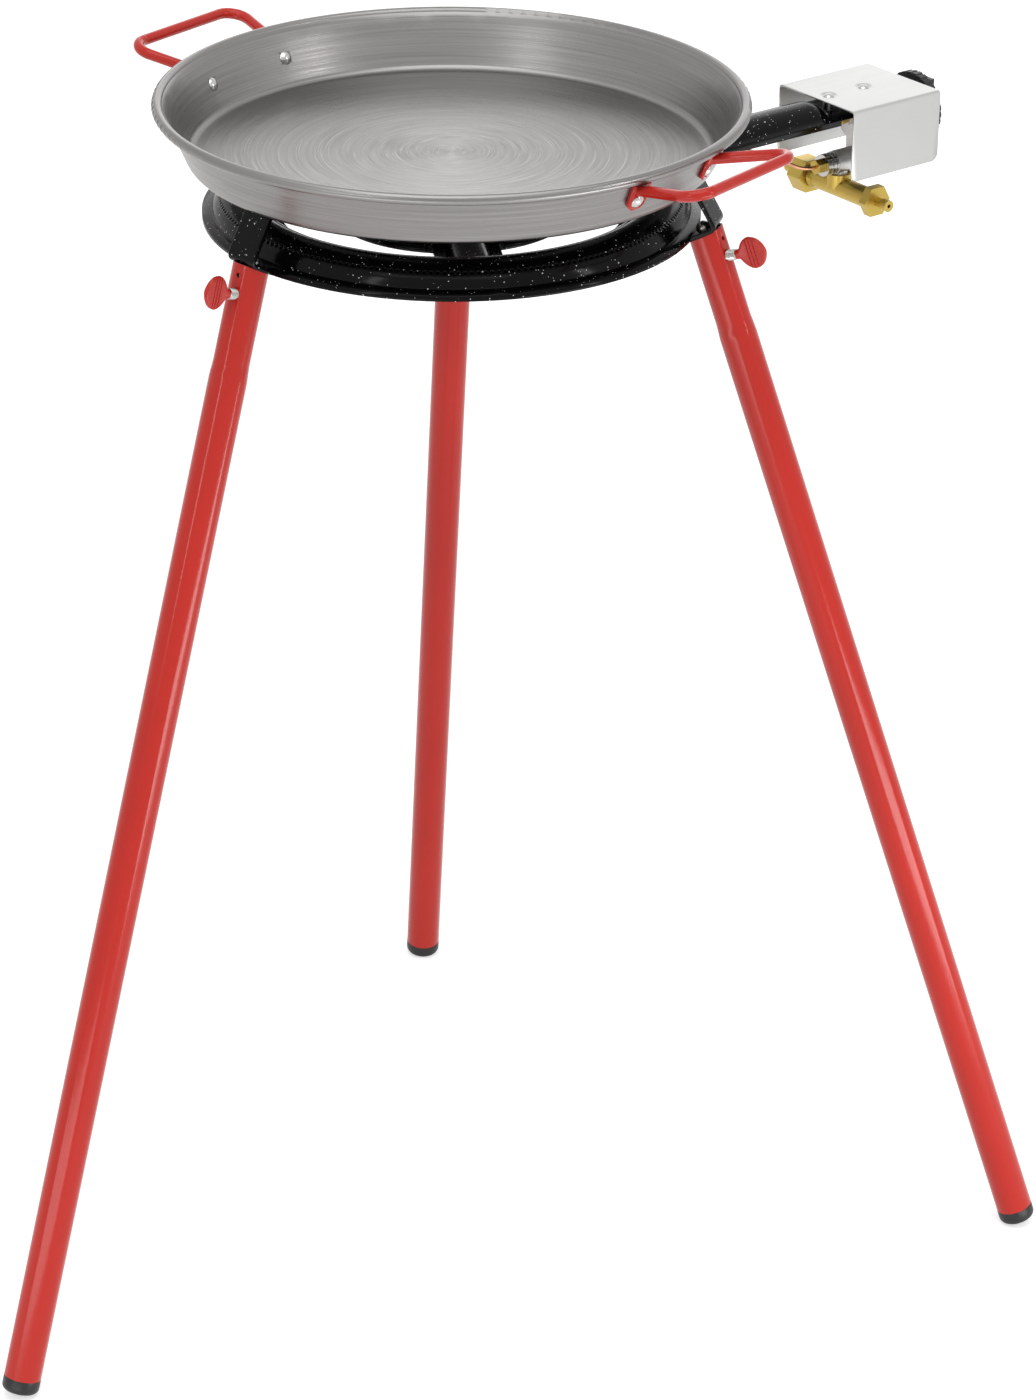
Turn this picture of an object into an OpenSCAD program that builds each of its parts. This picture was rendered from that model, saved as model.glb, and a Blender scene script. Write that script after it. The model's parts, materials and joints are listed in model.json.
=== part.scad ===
// Gas burner set for paella: a steel pan on a double ring burner that stands on three tube legs.
// The feed tube runs along +X, the floor is at z = 0, and the origin is the middle of the footprint.

/* [Pan] */
// Outside diameter over the rolled rim
pan_d = 420; // [400:5:440]
// Outside diameter where the wall meets the base
pan_base_d = 371; // [360:1:390]
// Height from the base to the top of the rim
pan_h = 43; // [38:1:50]
// Thickness of the pan's sheet
pan_wall = 1.6; // [1.2:0.1:2.4]
// Outer radius between base and wall
pan_edge_r = 8; // [5:0.5:12]
// Diameter of the rolled rim
rim_bead_d = 7.5; // [5:0.5:9]
// Turn of the wall outwards just under the rim
rim_flare = 2.5; // [1.5:0.5:4]

/* [Pan handles] */
// Diameter of the handle rod
handle_rod_d = 8; // [6:0.5:10]
// Distance between the two riveted ends of a handle, middle to middle
handle_span = 80; // [70:1:90]
// Length of the grip between the corners its straight lines would meet at
grip_span = 118; // [108:1:126]
// Distance from the rim to the middle of the grip
handle_reach = 45; // [38:1:55]
// Bend radius of the rod at the grip's corners
handle_bend_r = 14; // [9:1:18]
// Direction of the front handle, seen from above
handle_angle = -76; // [-90:1:-70]
// Width of a flattened handle end
tab_w = 15; // [12:0.5:18]
// Height of a flattened handle end
tab_h = 22; // [18:0.5:26]
// Thickness of a flattened handle end
tab_t = 3; // [2:0.25:4]
// Diameter of a handle rivet
rivet_d = 6; // [4:0.5:7]

/* [Burner] */
// Height of the pan's seat above the floor
seat_h = 820; // [700:1:900]
// Height of the pan's seat above the burner's flange
flame_gap = 38.5; // [34:0.5:50]
// Outside diameter of the burner's flange
ring_d = 353; // [340:1:365]
// Width of the flange outside the outer ring's dome
ring_flange = 6.5; // [5:0.5:10]
// Half the width of the outer ring's dome
ring_half_w = 20; // [18:0.5:22]
// Height of the outer ring's dome
ring_h = 16; // [13:0.5:18]
// Middle radius of the inner ring
inner_ring_r = 62; // [56:1:66]
// Half the width of the inner ring, the spokes and their domes
inner_half_w = 16; // [13:0.5:17]
// Height of the inner ring's and the spokes' domes
inner_h = 13; // [10:0.5:14]
// Diameter of a gas port
port_d = 2.2; // [1.6:0.1:2.6]
// Distance between gas ports
port_pitch = 4.2; // [3.6:0.1:12]
// Thickness of the enamelled sheet
shell_t = 1.2; // [0.8:0.1:1.6]
// Height of the folded lip at the flange's edge
lip_h = 5; // [4:0.5:7]
// Half the width of the feed tube
feed_half_w = 20; // [17:0.5:22]
// Height of the feed tube's dome
feed_h = 10; // [8:0.5:11]
// Distance from the burner's axis to the closed end of the feed tube
feed_end = 350; // [335:1:352]

/* [Brackets] */
// Width of the bracket strip
strip_w = 26; // [22:1:30]
// Thickness of the bracket strip
strip_t = 3.5; // [3:0.25:4.5]
// Length of the pan rest at the top of the arm
rest_len = 16; // [12:1:22]
// Distance from the burner's edge to the middle of a leg's top
leg_out = 8; // [7:0.5:11]
// Slope of a bracket's plate beyond square with its leg
plate_tip = 9.3; // [4:0.1:12]

/* [Legs] */
// Directions of the left, right and rear legs, seen from above
leg_angles = [185.2, -53, 51];
// Outward lean of the left, right and rear legs
leg_splays = [19.1, 18.8, 8.7];
// Sideways lean of the left, right and rear legs
leg_side_leans = [3.1, 1.1, 2.5];
// Turn of the left, right and rear legs about their studs
leg_turns = [11, -17, 0];
// Outside diameter of the leg tube
leg_d = 27; // [25:0.5:29]
// Outside diameter of the leg's narrowed top
leg_neck_d = 25.5; // [23:0.5:27]
// Length of the leg's narrowed top
leg_neck_len = 66; // [64:1:90]
// Wall of the leg tube
leg_wall = 2; // [1.5:0.25:2.5]
// Height of the foot cap below the tube
cap_h = 11; // [8:1:16]
// Length of the stud inside the leg
stud_len = 60; // [46:1:62]
// Distance from the top of the leg to the thumb screw
screw_drop = 19; // [16:1:34]
// Diameter of the thumb screw's thread
screw_d = 8; // [6:0.5:10]
// Diameter of the thumb screw's paddle
paddle_d = 23.5; // [18:0.5:26]

/* [Valve cover] */
// Distance from the burner's axis to the near end of the cover
cover_start = 343; // [340:1:348]
// Length of the cover along the feed tube
cover_len = 87; // [84:1:90]
// Width of the cover
cover_w = 85; // [80:1:92]
// Height of the cover's sides
cover_h = 55; // [45:1:58]
// Thickness of the cover's sheet
cover_t = 1.2; // [0.8:0.1:1.6]
// Height of the cover's top above the burner's flange
cover_rise = 11.5; // [11:0.5:16]
// Radius of the cover's lower corners
cover_corner_r = 6; // [3:0.5:10]

/* [Tap] */
// Diameter of the control knob
knob_d = 56; // [44:1:58]
// Depth of the control knob
knob_len = 20; // [16:1:26]
// Distance from the cover's end to the back of the knob
knob_gap = 9; // [8:0.5:14]
// Depth of the knob's axis below the burner's flange
knob_drop = 15; // [14:0.5:18]
// Depth of the magnet unit's axis below the burner's flange
magnet_drop = 43.5; // [40:0.5:46]
// Depth of the gas bar's axis below the burner's flange
bar_drop = 63.5; // [60:0.5:68]
// Diameter of the gas bar
bar_d = 16; // [14:0.5:17]
// Length of the gas bar between its two end fittings
bar_len = 74; // [66:1:84]
// Width of the union nut across its flats
union_af = 25; // [22:0.5:28]
// Diameter of the hose nipple
nipple_d = 9; // [8:0.5:10]
// Free length of the hose nipple
nipple_len = 14; // [12:1:24]

/* [Hidden] */
$fn = 96;
LEFT = 0;
RIGHT = 1;
REAR = 2;

// Room for cuts to run past a face
over = 1;
// Gap between curved faces of pieces that part from each other
clear = 0.3;
// Running gap of a pin or shaft in its hole
running = 0.05;

enamel = [0.06, 0.06, 0.07];
red_paint = [0.78, 0.13, 0.12];
steel = [0.66, 0.66, 0.65];
stainless = [0.82, 0.82, 0.81];
brass = [0.80, 0.66, 0.22];
copper = [0.72, 0.42, 0.28];
black_plastic = [0.09, 0.09, 0.09];

// Heights and radii of the burner
flange_z = seat_h - flame_gap;
base_z = flange_z - shell_t;
tray_z = flange_z - lip_h;
ring_edge_r = ring_d / 2;
ring_r = ring_edge_r - ring_flange - ring_half_w;
inner_flange = 7;
gap_out_r = ring_r - ring_half_w - inner_flange;
gap_in_r = inner_ring_r + inner_half_w + inner_flange;
hub_r = inner_ring_r - inner_half_w - inner_flange;
spoke_angles = [0, 120, 240];
spoke_half_plate = inner_half_w + inner_flange;
feed_half_plate = feed_half_w + inner_flange / 2;
tongue_end = cover_start + cover_len - inner_flange;
trough_r = 13;
trough_end = feed_end + clear;
tray_share = 0.8;

function cap_radius(half_w, h) = (half_w * half_w + h * h) / (2 * h);

// Points of an arc about a middle
function arc(mid, r, from, to, steps) =
    [for (i = [0:steps])
        let (a = from + (to - from) * i / steps)
        mid + r * [cos(a), sin(a)]];

// A path with its inner corners rounded
function unit(v) = v / norm(v);
function round_corner(a, b, c, r, steps) =
    let (u = unit(a - b),
        v = unit(c - b),
        half = acos(u * v) / 2,
        mid = b + unit(u + v) * r / sin(half),
        start = b + u * r / tan(half) - mid,
        end = b + v * r / tan(half) - mid,
        from = atan2(start[1], start[0]),
        turn = atan2(end[1], end[0]) - from,
        sweep = turn > 180 ? turn - 360 : turn < -180 ? turn + 360 : turn)
    arc(mid, r, from, from + sweep, steps);
function rounded_path(pts, r, steps) =
    [each [pts[0]],
     for (i = [1:len(pts) - 2]) each round_corner(pts[i - 1], pts[i], pts[i + 1], r, steps),
     each [pts[len(pts) - 1]]];
function rounded_loop(pts, r, steps) =
    let (n = len(pts))
    [for (i = [0:n - 1]) each round_corner(pts[(i + n - 1) % n], pts[i], pts[(i + 1) % n], r, steps)];

// The outline of a strip of even thickness along a path
function path_normal(path, i) =
    let (a = path[max(i - 1, 0)], b = path[i], c = path[min(i + 1, len(path) - 1)],
        u = i > 0 ? unit(b - a) : unit(c - b),
        v = i < len(path) - 1 ? unit(c - b) : unit(b - a),
        n = unit(u + v))
    [-n[1], n[0]] / (n * u);
function strip_outline(path, t) =
    [each path,
     for (i = [len(path) - 1:-1:0]) path[i] + path_normal(path, i) * t];

// Places of the legs: each has its own direction, outward lean and sideways lean
function turn_z(v, a) = [v[0] * cos(a) - v[1] * sin(a), v[0] * sin(a) + v[1] * cos(a), v[2]];
function leg_dir(i) =
    turn_z([sin(leg_splays[i]),
        cos(leg_splays[i]) * sin(leg_side_leans[i]),
        -cos(leg_splays[i]) * cos(leg_side_leans[i])], leg_angles[i]);
leg_top_r = ring_edge_r + leg_out;
function plate_slope(i) = leg_splays[i] + plate_tip;
function plate_z(i) = tray_z + leg_out * tan(plate_slope(i));
function leg_top(i) = turn_z([leg_top_r, 0, plate_z(i)], leg_angles[i]);
function leg_tilt(i) = acos(-leg_dir(i)[2]);
cap_edge_r = 4;
cap_ring_r = leg_d / 2 - cap_edge_r;
function leg_len(i) =
    cap_edge_r + (plate_z(i) - cap_ring_r * sin(leg_tilt(i)) - cap_edge_r) / cos(leg_tilt(i));
function foot_reach(i, way) =
    (leg_top(i) + leg_dir(i) * (leg_len(i) - cap_edge_r)) * way
    + cap_ring_r * sqrt(1 - pow(leg_dir(i) * way, 2)) + cap_edge_r;

// A domed head that stands on z = 0
module dome_head(d, h) {
    r = cap_radius(d / 2, h);
    intersection() {
        translate([0, 0, h - r]) sphere(r);
        cylinder(d = d, h = h);
    }
}

// A hexagon bar along z, given by its width across the flats
module hex_bar(af, h) {
    cylinder(d = af / cos(30), h = h, $fn = 6);
}

// Pan
pan_top_r = pan_d / 2 - rim_bead_d + pan_wall;
bead_z = pan_h - rim_bead_d / 2;
flare_r = pan_top_r - rim_flare;
flare_z = bead_z - rim_flare;
wall_slope = atan((flare_r - pan_base_d / 2) / flare_z);
pan_edge_x = pan_base_d / 2 - pan_edge_r * tan((90 - wall_slope) / 2);
edge_steps = 8;
tab_z_share = 0.477;
tab_z = pan_h * tab_z_share;
rivet_head_share = 1.7;
rivet_rise_share = 0.4;
rivet_head_d = rivet_d * rivet_head_share;
rivet_head_h = rivet_d * rivet_rise_share;

function wall_r(z) = pan_base_d / 2 + z * tan(wall_slope);

// The place where a handle's flattened end is riveted, with x pointing out of the wall
module at_tab(side) {
    rotate([0, 0, side * asin(handle_span / 2 / wall_r(tab_z))])
        translate([wall_r(tab_z), 0, seat_h + tab_z])
            rotate([0, wall_slope, 0])
                children();
}

module at_tabs() {
    for (half = [0, 180])
        for (side = [-1, 1])
            rotate([0, 0, handle_angle + half])
                at_tab(side)
                    children();
}

module pan() {
    path = [[0, 0],
        each arc([pan_edge_x, pan_edge_r], pan_edge_r, -90, -wall_slope, edge_steps),
        [flare_r, flare_z], [pan_top_r, bead_z]];
    color(steel) placed() difference() {
        translate([0, 0, seat_h]) union() {
            rotate_extrude() polygon(strip_outline(path, pan_wall));
            rotate_extrude() translate([pan_d / 2 - rim_bead_d / 2, bead_z]) circle(d = rim_bead_d);
        }
        at_tabs() rotate([0, 90, 0]) cylinder(d = rivet_d, h = rivet_head_d, center = true);
    }
}

// Handles: a rod whose two arms climb and spread from their flattened ends to a straight grip
arm_root_share = 0.63;
grip_rise_share = 0.95;
grip_r = pan_d / 2 + handle_reach;
arm_root_z = pan_h * arm_root_share;
arm_start = sqrt(pow(wall_r(arm_root_z), 2) - pow(handle_span / 2, 2)) - tab_t;
arm_climb = atan((pan_h * grip_rise_share - arm_root_z) / (grip_r - arm_start));
arm_run = (grip_r - arm_start) / cos(arm_climb);
arm_widen = (grip_span - handle_span) / 2;
arm_spread = atan(arm_widen / arm_run);
bend_turn = 90 + arm_spread;
bend_set = handle_bend_r * tan(bend_turn / 2);
arm_len = norm([arm_run, arm_widen]) - bend_set;
corner_in = grip_span / 2 - bend_set;
lap = 0.5;
straight_d = handle_rod_d - 2 * running;

module handle_tab() {
    tab_rise = tab_h - tab_w / 2;
    translate([-tab_t / 2, 0, 0]) rotate([0, 90, 0]) cylinder(d = tab_w, h = 1.5 * tab_t);
    translate([-tab_t / 2, -tab_w / 2, 0]) cube([1.5 * tab_t, tab_w, tab_rise]);
}

// The room the pan's wall takes up, which the back of a tab follows
module wall_space() {
    translate([0, 0, seat_h]) cylinder(r1 = wall_r(0) + running, r2 = wall_r(pan_h) + running, h = pan_h);
}

module handle(half) {
    color(red_paint) placed() rotate([0, 0, handle_angle + half]) difference() {
        union() {
            for (side = [-1, 1]) at_tab(side) handle_tab();
            translate([arm_start, 0, seat_h + arm_root_z]) rotate([0, -arm_climb, 0]) {
                for (side = [-1, 1]) {
                    translate([0, side * handle_span / 2, 0])
                        rotate([0, 90, side * arm_spread]) cylinder(d = straight_d, h = arm_len + lap);
                    translate([arm_run - handle_bend_r, side * corner_in, 0])
                        rotate([0, 0, side > 0 ? 0 : -bend_turn])
                            rotate_extrude(angle = bend_turn)
                                translate([handle_bend_r, 0]) circle(d = handle_rod_d);
                }
                translate([arm_run, 0, 0])
                    rotate([90, 0, 0]) cylinder(d = straight_d, h = 2 * (corner_in + lap), center = true);
            }
        }
        wall_space();
        for (side = [-1, 1]) at_tab(side)
            rotate([0, 90, 0]) cylinder(d = rivet_d, h = rivet_head_d, center = true);
    }
}

module handle_rivets() {
    grip = pan_wall + tab_t + 4 * running;
    color(stainless) placed() at_tabs() translate([tab_t + running, 0, 0]) rotate([0, 90, 0]) {
        dome_head(rivet_head_d, rivet_head_h);
        translate([0, 0, -grip]) cylinder(d = rivet_d - 2 * running, h = grip);
        translate([0, 0, -grip]) mirror([0, 0, 1]) dome_head(rivet_head_d, rivet_head_h);
    }
}

// The middle of the footprint, between the feet, the knob and the rear handle
knob_back = cover_start + cover_len + knob_gap;
knob_front = knob_back + knob_len;
far_x = max(knob_front, foot_reach(RIGHT, [1, 0, 0]));
near_x = foot_reach(LEFT, [-1, 0, 0]);
far_y = max(foot_reach(REAR, [0, 1, 0]),
    (grip_r - handle_bend_r) * sin(-handle_angle) + corner_in * cos(handle_angle)
    + handle_bend_r + handle_rod_d / 2);
near_y = foot_reach(RIGHT, [0, -1, 0]);
origin = [(far_x - near_x) / 2, (far_y - near_y) / 2, 0];

module placed() {
    translate(-origin) children();
}

// Burner: two pressed rings, three spokes and a feed tube, drawn as round tubes cut at the flange
module burner_tubes(inset) {
    ring_cap = cap_radius(ring_half_w, ring_h);
    inner_cap = cap_radius(inner_half_w, inner_h);
    feed_cap = cap_radius(feed_half_w, feed_h);
    feed_turn = feed_end - feed_half_w;
    translate([0, 0, flange_z + ring_h - ring_cap])
        rotate_extrude() translate([ring_r, 0]) circle(ring_cap - inset);
    translate([0, 0, flange_z + inner_h - inner_cap]) {
        rotate_extrude() translate([inner_ring_r, 0]) circle(inner_cap - inset);
        for (a = spoke_angles)
            rotate([0, 90, a]) translate([0, 0, inner_ring_r])
                cylinder(r = inner_cap - inset, h = ring_r - inner_ring_r);
    }
    translate([0, 0, flange_z + feed_h - feed_cap]) {
        rotate([0, 90, 0]) translate([0, 0, ring_r]) cylinder(r = feed_cap - inset, h = feed_turn - ring_r);
        translate([feed_turn, 0, 0]) sphere(feed_cap - inset);
    }
}

// A row of gas ports on a ring's outer slope, left out where a tube joins the ring
port_slope = 48;

module port_row(row_r, half_w, h, joins, join_half) {
    cap = cap_radius(half_w, h);
    count = floor(2 * PI * row_r / port_pitch);
    for (k = [0:count - 1])
        let (a = 360 * k / count)
        if (min([for (j = joins) abs((a - j + 540) % 360 - 180)]) > join_half)
            rotate([0, 0, a]) translate([row_r, 0, flange_z + h - cap]) rotate([0, 90 - port_slope, 0])
                translate([0, 0, cap - 2 * shell_t]) cylinder(d = port_d, h = 3 * shell_t);
}

module ring_plate(inner_r, outer_r, z, t) {
    translate([0, 0, z]) difference() {
        cylinder(r = outer_r, h = t);
        translate([0, 0, -over]) cylinder(r = inner_r, h = t + 2 * over);
    }
}

// The flat outline of the flange, drawn in by an inset
module burner_plate(z, inset, feed_stop) {
    ring_plate(gap_out_r + inset, ring_edge_r - inset, z, shell_t);
    ring_plate(hub_r + inset, gap_in_r - inset, z, shell_t);
    half = spoke_half_plate - inset;
    for (a = spoke_angles)
        rotate([0, 0, a]) translate([inner_ring_r, -half, z])
            cube([ring_r - inner_ring_r, 2 * half, shell_t]);
    feed_half = feed_half_plate - inset;
    translate([ring_r, -feed_half, z]) cube([feed_stop - ring_r, 2 * feed_half, shell_t]);
}

// The folded lips that hang from the flange's edges
module burner_lips() {
    difference() {
        union() {
            ring_plate(ring_edge_r - shell_t, ring_edge_r, tray_z, lip_h);
            ring_plate(gap_out_r, gap_out_r + shell_t, tray_z, lip_h);
            ring_plate(gap_in_r - shell_t, gap_in_r, tray_z, lip_h);
        }
        for (a = spoke_angles)
            rotate([0, 0, a]) translate([0, -spoke_half_plate, tray_z - over])
                cube([ring_r, 2 * spoke_half_plate, lip_h + 2 * over]);
        translate([ring_r, -feed_half_plate, tray_z - over])
            cube([ring_edge_r, 2 * feed_half_plate, lip_h + 2 * over]);
    }
    ring_plate(hub_r, hub_r + shell_t, tray_z, lip_h);
    gap_mid = sqrt(pow(gap_in_r, 2) - pow(spoke_half_plate, 2));
    for (a = spoke_angles)
        for (side = [0, 1])
            rotate([0, 0, a]) mirror([0, side, 0])
                translate([gap_mid - shell_t, spoke_half_plate - shell_t, tray_z])
                    cube([gap_out_r - gap_mid, shell_t, lip_h]);
    for (side = [0, 1])
        mirror([0, side, 0])
            translate([ring_edge_r - 2 * shell_t, feed_half_plate - shell_t, tray_z])
                cube([trough_end - ring_edge_r, shell_t, lip_h]);
}

module burner_top() {
    color(enamel) placed() difference() {
        union() {
            intersection() {
                burner_tubes(0);
                translate([0, 0, base_z]) cylinder(r = feed_end + over, h = flame_gap);
            }
            burner_plate(base_z, 0, tongue_end);
            burner_lips();
        }
        burner_tubes(shell_t);
        port_row(ring_r, ring_half_w, ring_h, [0], asin(feed_half_plate / ring_r));
        port_row(inner_ring_r, inner_half_w, inner_h, spoke_angles, asin(spoke_half_plate / gap_in_r));
        for (x = cover_screw_x)
            translate([x, 0, base_z - over])
                cylinder(d = cover_screw_d + 2 * running, h = shell_t + 2 * over);
    }
}

// The lower shell: a plate with shallow trays under the rings and a half round trough as the gas inlet
module tray_ring(mid_r, half_w, z, t) {
    low = half_w * tray_share;
    rotate_extrude()
        polygon([[mid_r - half_w, z + t], [mid_r - low, z], [mid_r + low, z], [mid_r + half_w, z + t]]);
}

module burner_base() {
    low_z = base_z - shell_t;
    inset = shell_t + clear;
    color(enamel) placed() difference() {
        union() {
            burner_plate(low_z, inset, trough_end);
            tray_ring(ring_r, ring_half_w, tray_z, low_z - tray_z + shell_t / 2);
            tray_ring(inner_ring_r, inner_half_w, tray_z, low_z - tray_z + shell_t / 2);
            intersection() {
                translate([ring_r, 0, base_z]) rotate([0, 90, 0])
                    cylinder(r = trough_r, h = trough_end - ring_r);
                translate([ring_r, -trough_r, base_z - trough_r])
                    cube([trough_end, 2 * trough_r, trough_r]);
            }
        }
        tray_ring(ring_r, ring_half_w - shell_t, tray_z + shell_t, base_z - tray_z + over);
        tray_ring(inner_ring_r, inner_half_w - shell_t, tray_z + shell_t, base_z - tray_z + over);
        translate([ring_r + shell_t, 0, base_z])
            rotate([0, 90, 0]) cylinder(r = trough_r - shell_t, h = trough_end);
    }
}

// Brackets: one bent strip each, welded to the ring's lip: a plate for the leg and an arm for the pan
strip_bend_share = 1.5;
strip_bend_r = strip_t * strip_bend_share;
bend_steps = 5;
bend_out_share = 0.42;
rest_in = 8.5;
rest_z = seat_h - running;
neck_d = 8;

function plate_point(i, u) = [u, tray_z + (u - ring_edge_r) * tan(plate_slope(i))];
function bracket_path(i) =
    let (top_u = pan_base_d / 2 - rest_in)
    rounded_path([plate_point(i, ring_edge_r - strip_t), plate_point(i, leg_top_r + leg_d * bend_out_share),
        [top_u, rest_z], [top_u - rest_len, rest_z]], strip_bend_r, bend_steps);

module at_plate(i) {
    translate(leg_top(i)) rotate([0, 0, leg_angles[i]]) rotate([0, -plate_slope(i), 0]) children();
}

module at_leg(i) {
    translate(leg_top(i)) rotate([0, 0, leg_angles[i]]) rotate([leg_side_leans[i], 0, 0])
        rotate([0, -leg_splays[i], 0]) rotate([0, 0, leg_turns[i]]) children();
}

module bracket(i) {
    color(enamel) placed() difference() {
        rotate([0, 0, leg_angles[i]]) rotate([90, 0, 0])
            linear_extrude(strip_w, center = true) polygon(strip_outline(bracket_path(i), strip_t));
        translate([0, 0, tray_z - strip_t]) cylinder(r = ring_edge_r + running, h = lip_h + 2 * strip_t);
        at_plate(i) translate([0, 0, -over]) cylinder(d = neck_d + 2 * running, h = strip_t + 2 * over);
    }
}

// Studs: a round bar riveted through the bracket, which the leg slides over
stud_gap = 0.6;
stud_r = leg_neck_d / 2 - leg_wall - stud_gap;
stud_tip = 3;
stud_head_d = 11;
stud_head_h = 5;

// The space under a bracket's plate
module below_plate(i) {
    at_plate(i) translate([-leg_d, -leg_d, -2 * stud_len]) cube([2 * leg_d, 2 * leg_d, 2 * stud_len]);
}

module leg_stud(i) {
    color(steel) placed() union() {
        at_plate(i) {
            cylinder(d = neck_d, h = strip_t);
            translate([0, 0, strip_t]) dome_head(stud_head_d, stud_head_h);
        }
        intersection() {
            at_leg(i) translate([0, 0, -stud_len]) {
                cylinder(r1 = stud_r - stud_tip, r2 = stud_r, h = stud_tip);
                translate([0, 0, stud_tip]) cylinder(r = stud_r, h = stud_len);
            }
            below_plate(i);
        }
    }
}

// Legs: tubes narrowed at the top, with a tapped hole for the thumb screw and a small vent hole above it
vent_d = 3.5;
vent_drop = 6;
leg_cone = 12;

module leg(i) {
    path = [[leg_d / 2, cap_h - leg_len(i)], [leg_d / 2, -leg_neck_len - leg_cone],
        [leg_neck_d / 2, -leg_neck_len], [leg_neck_d / 2, leg_d]];
    color(red_paint) placed() difference() {
        at_leg(i) difference() {
            rotate_extrude() polygon(strip_outline(path, leg_wall));
            translate([0, 0, -screw_drop]) rotate([0, 90, 0]) cylinder(d = screw_d, h = leg_d);
            translate([0, 0, -vent_drop]) rotate([0, 90, 0]) cylinder(d = vent_d, h = leg_d);
        }
        at_plate(i) translate([-leg_d, -leg_d, -running]) cube([2 * leg_d, 2 * leg_d, 2 * leg_d]);
    }
}

cap_spigot = 22;
cap_steps = 6;

module foot_cap(i) {
    r = leg_d / 2;
    fit_r = r - leg_wall - running;
    color(black_plastic) placed() at_leg(i) translate([0, 0, -leg_len(i)]) rotate_extrude()
        polygon([[0, 0],
            each arc([r - cap_edge_r, cap_edge_r], cap_edge_r, -90, 0, cap_steps),
            [r, cap_h], [fit_r, cap_h], [fit_r, cap_h + cap_spigot], [0, cap_h + cap_spigot]]);
}

// Thumb screws: a steel thread with a flat fan of a paddle, three grooves across each face
thread_out = 7;
shank_d = 5;
shank_len = 9;
paddle_t = 3.4;
paddle_socket_d = 8;
groove_w = 0.9;
groove_deep = 0.5;
groove_shares = [0.38, 0.5, 0.62];
paddle_root_w = 9;
paddle_edge_w = 15;
paddle_corner_r = 5;
paddle_wide_share = 0.52;
thread_end = leg_neck_d / 2 + thread_out;

module at_screw(i) {
    at_leg(i) translate([0, 0, -screw_drop]) children();
}

module thumb_screw(i) {
    start = stud_r + clear;
    color(steel) placed() at_screw(i) rotate([0, 90, 0]) {
        translate([0, 0, start]) cylinder(d = screw_d - 2 * running, h = thread_end - start);
        translate([0, 0, thread_end]) cylinder(d = shank_d, h = shank_len);
    }
}

module screw_paddle(i) {
    half = [[0, paddle_root_w / 2], [paddle_d * paddle_wide_share, paddle_d / 2], [paddle_d, paddle_edge_w / 2]];
    outline = [each half, for (k = [2:-1:0]) [half[k][0], -half[k][1]]];
    color(red_paint) placed() at_screw(i) difference() {
        union() {
            translate([thread_end, 0, 0]) rotate([90, 0, 0]) linear_extrude(paddle_t, center = true)
                polygon(rounded_loop(outline, paddle_corner_r, bend_steps));
            translate([thread_end, 0, 0]) rotate([0, 90, 0])
                cylinder(d1 = paddle_socket_d, d2 = shank_d, h = paddle_d / 2);
        }
        translate([thread_end - over, 0, 0]) rotate([0, 90, 0])
            cylinder(d = shank_d + 2 * running, h = shank_len + over);
        for (side = [0, 1])
            for (s = groove_shares)
                mirror([0, side, 0])
                    translate([thread_end + paddle_d * s, paddle_t / 2 - groove_deep, -paddle_d])
                        cube([groove_w, paddle_t, 2 * paddle_d]);
    }
}

// Valve cover: a folded channel, open at both ends, screwed down through two shallow dimples
cover_z = flange_z + cover_rise;
fold_r = 3;
cover_screw_d = 5;
cover_screw_ins = [12, 47];
cover_screw_x = [for (x = cover_screw_ins) cover_start + x];
dimple_d = 15;
dimple_h = 1.2;
dimple_foot_d = 9;
screw_head_d = 8;
screw_head_h = 2.4;
screw_bite = 4.5;

module cover_side_outline() {
    r = cover_corner_r;
    polygon([[0, over], [0, -cover_h + r], each arc([r, r - cover_h], r, 180, 270, cap_steps),
        each arc([cover_len - r, r - cover_h], r, 270, 360, cap_steps), [cover_len, over]]);
}

module valve_cover() {
    half = cover_w / 2;
    path = rounded_path([[half, -cover_h], [half, 0], [-half, 0], [-half, -cover_h]], fold_r, bend_steps);
    color(stainless) placed() difference() {
        union() {
            translate([cover_start, 0, cover_z]) intersection() {
                rotate([90, 0, 90]) linear_extrude(cover_len) polygon(strip_outline(path, cover_t));
                rotate([90, 0, 0]) linear_extrude(2 * cover_w, center = true) cover_side_outline();
            }
            for (x = cover_screw_x)
                translate([x, 0, cover_z - cover_t - dimple_h])
                    cylinder(d1 = dimple_foot_d, d2 = dimple_d, h = dimple_h);
        }
        for (x = cover_screw_x) translate([x, 0, cover_z]) {
            translate([0, 0, -dimple_h]) cylinder(d1 = dimple_foot_d, d2 = dimple_d, h = dimple_h + running);
            translate([0, 0, -dimple_d]) cylinder(d = cover_screw_d + 2 * running, h = dimple_d);
        }
    }
}

module cover_screws() {
    shank = cover_rise - dimple_h + shell_t + screw_bite;
    color(stainless) placed() for (x = cover_screw_x) translate([x, 0, cover_z - dimple_h]) {
        dome_head(screw_head_d, screw_head_h);
        translate([0, 0, -shank]) cylinder(d = cover_screw_d, h = shank);
    }
}

module cover_spacers() {
    h = cover_rise - cover_t - dimple_h;
    color(steel) placed() for (x = cover_screw_x) translate([x, 0, flange_z]) difference() {
        cylinder(d = dimple_foot_d, h = h);
        translate([0, 0, -over]) cylinder(d = cover_screw_d + 2 * running, h = h + 2 * over);
    }
}

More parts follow.
